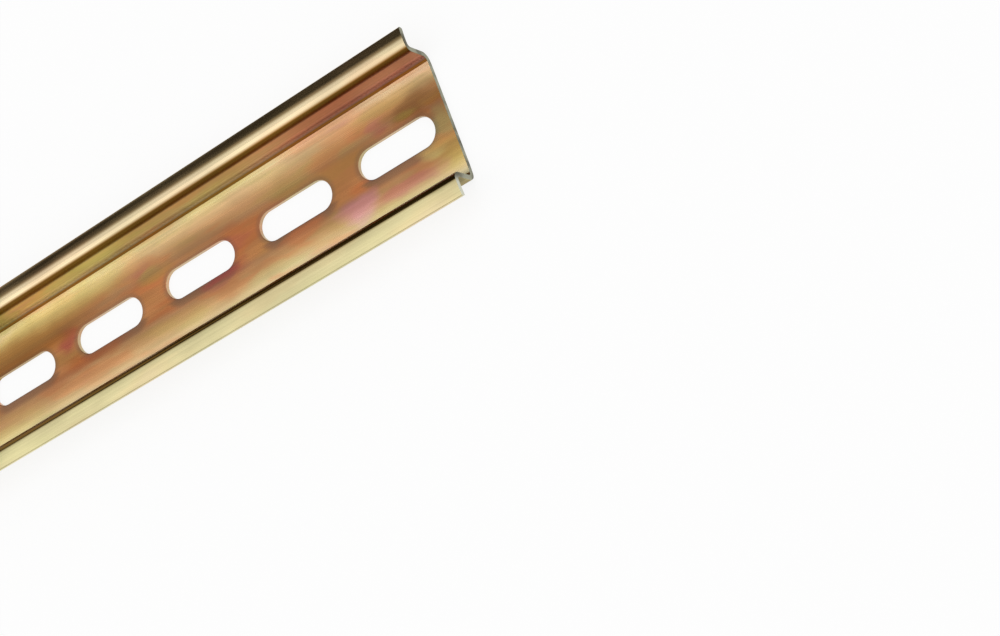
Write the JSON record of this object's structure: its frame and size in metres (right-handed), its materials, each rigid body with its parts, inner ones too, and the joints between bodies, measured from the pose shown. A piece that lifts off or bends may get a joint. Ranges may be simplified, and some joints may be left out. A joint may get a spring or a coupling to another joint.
{
  "type": "din rail",
  "caption": "Slotted top-hat mounting rail of yellow-chromated steel strip, onto whose flanges switchgear and terminal blocks clip, screwed down through slots in its web.",
  "frame": {"origin": "middle of the rail's length and width, on the back of the web, which is the plane the rail lies on", "axes": "+X along the rail, towards the end that the picture shows; +Y across the rail; +Z out of the channel's open side, towards the fronts of the flanges"},
  "size_m": [1, 0.035, 0.0075],
  "materials": {
    "yellow_chromate": "zinc-plated steel, yellow-chromated, satin, with an iridescent straw, gold and pink tint"
  },
  "bodies": {
    "root": {"rail": "yellow_chromate"}
  },
  "joints": []
}
